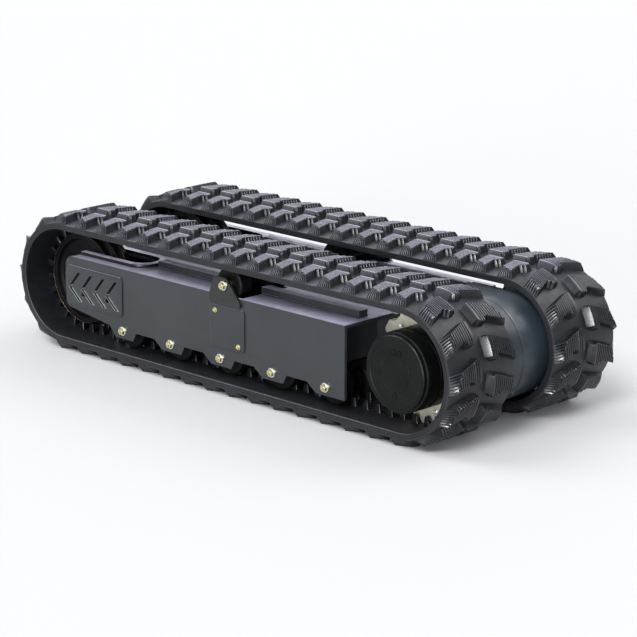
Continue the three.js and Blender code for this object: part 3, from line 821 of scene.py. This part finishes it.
def make_idler(side):
    wheel = lathe(both_halves(IDLER_HALF), IDLER_X, AXLE_Z, 128, 1.6)
    publish(wheel, "idler_wheel", side, LOOKS["wheel"], "idler", ["idler_wheel"])
    axle = disc(IDLER_X, AXLE_Z, -YOKE_HALF, 1, 20, 2 * YOKE_HALF, sides=48)
    publish(axle, "idler_axle", side, LOOKS["steel"], "idler_carriage", ["idler_axle"])
    from_node(f"idler_yoke_{side}", LOOKS["paint"], f"idler_carriage_{side}", 2.0)


WEAR_BAND = 1.1                 # half width of a rubbed band
WEAR_PROUD = 0.25


def make_idler_wear(side):
    """Thin rubbed rings on the edges of the idler's flange and treads."""
    edges = ((FLANGE_R, FLANGE_HALF + 0.4), (TREAD_R, 22.6), (TREAD_R, TREAD_HALF - 0.6))
    rings = []
    for radius, half in edges:
        low, high = radius - 0.6, radius + WEAR_PROUD
        for y in (-half, half):
            near, far = y - WEAR_BAND, y + WEAR_BAND
            profile = [(low, near), (high, near), (high, far), (low, far)]
            rings.append(lathe(profile, IDLER_X, AXLE_Z, 128, 0.2, 1))
    publish(merged(*rings), "idler_wear_rings", side, LOOKS["rubbed"], "idler", smooth_angle=30)


VENT_FIRST_X, VENT_TIP_Z = -779, 223
VENT_PITCH, VENT_COUNT = 63.3, 4
LOWER_ARM = (50, -44)           # run and drop of a chevron's lower recess
ARM_WIDTH = 13


def make_vent_lips(side):
    """Pressed lips along both edges of the lower recess of each chevron, in a bright metal colour that paints
    their highlight.
    """
    lips = []
    face = FRAME_FACE + COVER_THICKNESS + 0.2
    run, drop = LOWER_ARM
    low = VENT_TIP_Z + drop
    for k in range(VENT_COUNT):
        tip = VENT_FIRST_X + k * VENT_PITCH
        for edge in (-2.4, ARM_WIDTH + 0.4):
            foot = tip + edge
            end = foot + run
            outline = [(foot, VENT_TIP_Z), (foot + 2, VENT_TIP_Z), (end + 2, low), (end, low)]
            for near, far in ((-face - 1.6, -face + GAP), (face - GAP, face + 1.6)):
                lips.append(prism(outline, near, far))
    publish(merged(*lips), "vent_lips", side, LOOKS["lip"], smooth_angle=30)


SPRING_WIRE, SPRING_R, SPRING_TURNS = 7, 34, 5
WIRE_SIDES = 14


def make_recoil(side):
    low, high = node_box("recoil_spring_left")
    x0, x1 = low[0] + SPRING_WIRE, high[0] - SPRING_WIRE
    steps = SPRING_TURNS * 40
    rows = []
    for i in range(steps + 1):
        angle = 2 * math.pi * SPRING_TURNS * i / steps
        outward = Vector((0, math.cos(angle), math.sin(angle)))
        along = x0 + (x1 - x0) * i / steps
        middle = Vector((along, SPRING_R * math.cos(angle), AXLE_Z + SPRING_R * math.sin(angle)))
        ring = []
        for k in range(WIRE_SIDES):
            a = 2 * math.pi * k / WIRE_SIDES
            across = Vector((SPRING_WIRE * math.sin(a), 0, 0))
            ring.append(tuple(middle + outward * SPRING_WIRE * math.cos(a) + across))
        rows.append(ring)
    shape = Shape().grid(rows, wrap_columns=True)
    shape.add(rows[0], [tuple(range(WIRE_SIDES))])
    shape.add(rows[-1], [tuple(range(WIRE_SIDES))[::-1]])
    publish(shape, "recoil_spring", side, LOOKS["steel"], "root", ["recoil_spring"], smooth_angle=60)
    from_node(f"tension_cylinder_{side}", LOOKS["steel"], "root", 1.0)


# ---- drive end ---------------------------------------------------------------------------
TEETH = 12
TIP_R, ROOT_R = 195.5, 176.5
TOOTH_STEPS = 16
SPROCKET_HALF = 16
SPROCKET_BORE = 60
BOLT_CIRCLE, BOLT_COUNT = 149, 12
COVER_R = 120.6
RIM_SCREW_CIRCLE, RIM_SCREW_COUNT = 110, 12
PLUGS = ((66, 98), (66, 78), (62, 186), (70, 268))  # radius and direction in degrees


def around(radius, angle, centre_z=AXLE_Z):
    """A point on a circle about the drive axle, or about a centre above it."""
    return DRIVE_X + radius * math.cos(angle), centre_z + radius * math.sin(angle)


def sprocket_outline(part_of=1.0):
    points = []
    step = 2 * math.pi / TEETH
    for i in range(TEETH):
        for k in range(TOOTH_STEPS):
            part = k / TOOTH_STEPS
            swell = 0.5 + 0.5 * math.cos(2 * math.pi * part)
            tooth = min(1.0, max(0.0, (swell - 0.22) / 0.5))
            radius = ROOT_R + (TIP_R - ROOT_R) * tooth
            points.append(around(radius * part_of, (i + part) * step))
    return points


def make_drive(side):
    outline, chamfer = sprocket_outline(), sprocket_outline(0.965)
    bore = circle(DRIVE_X, AXLE_Z, SPROCKET_BORE, len(outline))
    half = SPROCKET_HALF
    levels = [
        (bore, 1.5 - half), (chamfer, -half), (outline, 3 - half),
        (outline, half - 3), (chamfer, half), (bore, half - 1.5),
    ]
    rows = [[(x, y, z) for x, z in ring] for ring, y in levels]
    shape = Shape().grid(rows, wrap_rows=True, wrap_columns=True)
    publish(shape, "sprocket", side, LOOKS["sprocket"], "drive", ["sprocket"], smooth_angle=30)
    bolts = []
    for k in range(BOLT_COUNT):
        angle = 2 * math.pi * (k + 0.5) / BOLT_COUNT
        x, z = around(BOLT_CIRCLE, angle)
        bolts.append(disc(x, z, -half, -1, 8.5, 1.6, sides=24, soft=0.4))
        bolts.append(hex_head(x, z, -half - 1.6, -1, 7.5, 6, angle))
    publish(merged(*bolts), "sprocket_bolts", side, LOOKS["silver"], "drive", smooth_angle=30)
    make_hub(side)
    make_hub_cover(side)


def make_hub(side):
    """The rotating gearbox case, with a groove round its waist."""
    inner = -SPROCKET_HALF - GAP
    profile = [
        (SPROCKET_BORE, inner), (SPROCKET_BORE, -120), (0, -120), (0, HUB_OUT),
        (117, HUB_OUT), (120, HUB_OUT - 0.1), (HUB_R - 2, HUB_OUT + 1), (HUB_R, HUB_OUT + 5),
        (HUB_R, -98), (HUB_R - 2, -96), (HUB_R - 2, -92), (HUB_R, -90), (HUB_R, inner),
    ]
    hub = lathe(profile[::-1], DRIVE_X, AXLE_Z, 128)
    publish(hub, "gearbox_hub", side, LOOKS["black"], "drive", ["gearbox_hub"])


def make_hub_cover(side):
    profile = [
        (0, HUB_OUT - GAP), (COVER_R, HUB_OUT - GAP), (COVER_R, COVER_OUT + 4), (116, COVER_OUT),
        (104, COVER_OUT), (101, COVER_OUT + 2), (60, COVER_OUT + 2), (57, COVER_OUT + 0.6),
        (0, COVER_OUT + 0.6),
    ]
    cover = lathe(profile[::-1], DRIVE_X, AXLE_Z, 128)
    publish(cover, "hub_cover", side, LOOKS["black"], "drive", ["hub_cover"])
    screws = []
    for k in range(RIM_SCREW_COUNT):
        x, z = around(RIM_SCREW_CIRCLE, 2 * math.pi * (k + 0.5) / RIM_SCREW_COUNT)
        screws.append(disc(x, z, COVER_OUT + 2.4, -1, 4.6, 2.3, bore=2.4, sides=20, soft=0.5))
    for radius, degrees in PLUGS:
        angle = math.radians(degrees)
        x, z = around(radius, angle)
        screws.append(disc(x, z, COVER_OUT + 3, -1, 11, 2.9, bore=6, sides=32, soft=0.8))
        screws.append(hex_head(x, z, COVER_OUT + 2, -1, 5.4, 1.6, angle))
    publish(merged(*screws), "hub_cover_screws", side, LOOKS["black"], "drive", smooth_angle=30)


MOTOR_BOLT_CIRCLE, MOTOR_BOLT_COUNT = 106, 10


def make_motor(side):
    face = FRAME_FACE + GAP
    profile = [
        (0, -105), (50, -105), (50, 20), (54, 24), (92, 24), (92, face), (118, face), (118, face + 14),
        (96, face + 15), (90, face + 24), (74, face + 28), (70, face + 34), (70, face + 70),
        (66, face + 78), (60, face + 92), (0, face + 92),
    ]
    motor = lathe(profile[::-1], DRIVE_X, AXLE_Z, 80)
    publish(motor, "drive_motor", side, LOOKS["black"], "root", ["drive_motor"])
    bolts = []
    for k in range(MOTOR_BOLT_COUNT):
        angle = 2 * math.pi * k / MOTOR_BOLT_COUNT
        x, z = around(MOTOR_BOLT_CIRCLE, angle)
        bolts.append(hex_head(x, z, face + 14, 1, 8, 6, angle))
    publish(merged(*bolts), "motor_bolts", side, LOOKS["zinc"], smooth_angle=30)


GUARD_WALL = 6
GUARD_MOUTH_R = 122
GUARD_ARC_STEPS = 48
GUARD_BOLT_CIRCLE = 144
GUARD_BOLT_DEGREES = (-70, -35, 0, 35, 70)


def guard_outline(reach, flat, centre_z):
    """A D: a half circle about the drive axle between two flats."""
    points = [(flat, centre_z - reach)]
    for k in range(GUARD_ARC_STEPS + 1):
        angle = -math.pi / 2 + math.pi * k / GUARD_ARC_STEPS
        points.append(around(reach, angle, centre_z))
    points.append((flat, centre_z + reach))
    return points


def make_guard(side):
    """The half drum: a smooth D-shaped shell, its web and the seam flange on the centre plane."""
    low, high = node_box("motor_guard_left")
    radius = (high[2] - low[2]) / 2
    centre_z = (high[2] + low[2]) / 2
    flat = low[0]
    web_y, seam_y = low[1] + UNIT_Y, high[1] + UNIT_Y
    inner = radius - GUARD_WALL
    levels = [
        (inner, seam_y), (radius - 2, seam_y), (radius, seam_y - 2.0), (radius, seam_y - 5.6),
        (radius - 1.2, seam_y - 6.2), (radius - 1.2, web_y + 5), (radius - 2, web_y + 1.5),
        (radius - 4, web_y), (inner, web_y), (inner - 1, web_y + 6), (inner, web_y + 6.2),
    ]
    rows = [[(x, y, z) for x, z in guard_outline(reach, flat, centre_z)] for reach, y in levels]
    shape = Shape().grid(rows, wrap_rows=True)
    shape.add([row[0] for row in rows], [tuple(range(len(rows)))])
    shape.add([row[-1] for row in rows], [tuple(range(len(rows)))[::-1]])
    publish(shape, "motor_guard", side, LOOKS["guard"], "root", ["motor_guard"], smooth_angle=32)
    web = guard_outline(inner + 0.5, flat, centre_z)
    mouth = circle(DRIVE_X, AXLE_Z, GUARD_MOUTH_R, 64)
    inside = web_y + GUARD_WALL
    publish(ring_plate(web, mouth, web_y, inside), "guard_web", side, LOOKS["guard"], smooth_angle=30)
    bolts = []
    for degrees in GUARD_BOLT_DEGREES:
        x, z = around(GUARD_BOLT_CIRCLE, math.radians(degrees), centre_z)
        bolts.append(disc(x, z, inside, 1, 9, 1.6, sides=24, soft=0.4))
        bolts.append(hex_head(x, z, inside + 1.6, 1, 7, 5))
    publish(merged(*bolts), "guard_bolts", side, LOOKS["zinc"], smooth_angle=30)


def ring_plate(outer, hole, y0, y1):
    """A plate with one hole, cut from a prism."""
    mesh = bpy.data.meshes.new("web")
    work = bmesh.new()
    loops = []
    for ring in (outer, hole):
        verts = [work.verts.new((x, 0, z)) for x, z in ring]
        loops += [work.edges.new((verts[i - 1], verts[i])) for i in range(len(verts))]
    bmesh.ops.triangle_fill(work, use_beauty=True, edges=loops)
    work.to_mesh(mesh)
    work.free()
    flat = [tuple(v.co) for v in mesh.vertices]
    tris = [tuple(p.vertices) for p in mesh.polygons]
    count = len(flat)
    points = [(x, y0, z) for x, _, z in flat] + [(x, y1, z) for x, _, z in flat]
    faces = list(tris) + [tuple(i + count for i in tri[::-1]) for tri in tris]
    edges = {}
    for tri in tris:
        for a, b in zip(tri, tri[1:] + tri[:1]):
            edges[(a, b)] = edges.get((a, b), 0) + 1
    for a, b in edges:
        if (b, a) not in edges:
            faces.append((b, a, a + count, b + count))
    bpy.data.meshes.remove(mesh)
    return Shape().add(points, faces)


# ---- crossbeams -----------------------------------------------------------------------------
BEAM_FLANGE = 12
BEAM_BOLT_INSET_X, BEAM_BOLT_INSET_Z = 18, 16


def beam_bolts(low, high):
    """Four washers and bolts on the inside of each end flange."""
    bolts = []
    for x in (low[0] + BEAM_BOLT_INSET_X, high[0] - BEAM_BOLT_INSET_X):
        for z in (low[2] + BEAM_BOLT_INSET_Z, high[2] - BEAM_BOLT_INSET_Z):
            for out, face in ((1, low[1] + BEAM_FLANGE), (-1, high[1] - BEAM_FLANGE)):
                bolts.append(disc(x, z, face, out, 13, 2.4, sides=28, soft=0.5))
                bolts.append(hex_head(x, z, face + out * 2.4, out, 11, 8))
    return merged(*bolts)


def make_crossbeams():
    for node in ("crossbeam_front", "crossbeam_rear"):
        from_node(node, LOOKS["paint"], "root", 2.0)
        bolts = beam_bolts(*node_box(node))
        mesh = bpy.data.meshes.new(f"{node}_bolts")
        mesh.from_pydata((np.array(bolts.points) * MM).tolist(), [], bolts.faces)
        tidy_normals(mesh, 30)
        material, slot = LOOKS["zinc"]
        new_piece(f"{node}_bolts", mesh, material, "root")


# ---- camera, floor and light --------------------------------------------------------------------
CAMERA_PLACE = (5.958, -6.003, 2.458)
CAMERA_FORWARD = (-0.6763, 0.6893, -0.2595)
CAMERA_RIGHT = (0.7138, 0.7003, 0.0)
CAMERA_LENS = 147.7


def make_camera():
    data = bpy.data.cameras.new("camera")
    data.sensor_width = 36
    data.lens = CAMERA_LENS
    data.clip_end = 100
    camera = bpy.data.objects.new("camera", data)
    bpy.context.collection.objects.link(camera)
    forward = Vector(CAMERA_FORWARD).normalized()
    right = Vector(CAMERA_RIGHT).normalized()
    up = right.cross(forward)
    turn = Matrix((right, up, -forward)).transposed().to_4x4()
    camera.matrix_world = Matrix.Translation(CAMERA_PLACE) @ turn
    bpy.context.scene.camera = camera


def make_floor():
    bpy.ops.mesh.primitive_plane_add(size=60)
    floor = bpy.context.object
    floor.name = "studio_floor"
    n = Nodes("studio_floor")
    n.metal(0.0, 0.2)
    n.shader.inputs["Base Color"].default_value = (0.46, 0.46, 0.46, 1)
    n.shader.inputs["Roughness"].default_value = 0.9
    floor.data.materials.append(n.material)


def soft_sun(name, azimuth, elevation, spread, strength, colour=(1, 1, 1)):
    """A wide soft light. Azimuth goes from -Y towards +X; spread is its width in degrees."""
    data = bpy.data.lights.new(name, "SUN")
    data.angle = math.radians(spread)
    data.energy = strength
    data.color = colour
    light = bpy.data.objects.new(name, data)
    bpy.context.collection.objects.link(light)
    a, e = math.radians(azimuth), math.radians(elevation)
    away = Vector((math.sin(a) * math.cos(e), -math.cos(a) * math.cos(e), math.sin(e)))
    light.rotation_euler = away.to_track_quat("Z", "Y").to_euler()


def make_world():
    """A pale room, brighter overhead than at the horizon."""
    world = bpy.data.worlds.new("studio")
    world.use_nodes = True
    tree = world.node_tree
    place = tree.nodes.new("ShaderNodeTexCoord")
    split = tree.nodes.new("ShaderNodeSeparateXYZ")
    ramp = tree.nodes.new("ShaderNodeValToRGB")
    ramp.color_ramp.elements[0].position = 0.2
    ramp.color_ramp.elements[0].color = (0.34, 0.35, 0.40, 1)
    ramp.color_ramp.elements[1].position = 0.6
    ramp.color_ramp.elements[1].color = (0.95, 0.96, 1.0, 1)
    tree.links.new(place.outputs["Generated"], split.inputs["Vector"])
    tree.links.new(split.outputs["Z"], ramp.inputs["Fac"])
    tree.links.new(ramp.outputs["Color"], tree.nodes["Background"].inputs["Color"])
    bpy.context.scene.world = world


def make_studio():
    make_world()
    bpy.context.scene.view_settings.view_transform = "Standard"
    soft_sun("key", 20, 47, 26, 2.6)
    soft_sun("front", 24, 5, 18, 3.6)
    soft_sun("side", -65, 46, 36, 1.5)
    soft_sun("far", 160, 42, 36, 0.9)
    soft_sun("back", 222, 17, 26, 0.3, (0.88, 0.88, 1.0))


# ---- the whole object -----------------------------------------------------------------------------
make_camera()
make_floor()
make_studio()
for unit_side in SIDES:
    make_belt(unit_side)
    make_frame(unit_side)
    make_cover_screws(unit_side)
    make_rollers(unit_side)
    make_carrier(unit_side)
    make_idler(unit_side)
    make_idler_wear(unit_side)
    make_vent_lips(unit_side)
    make_recoil(unit_side)
    make_drive(unit_side)
    make_motor(unit_side)
    make_guard(unit_side)
make_crossbeams()
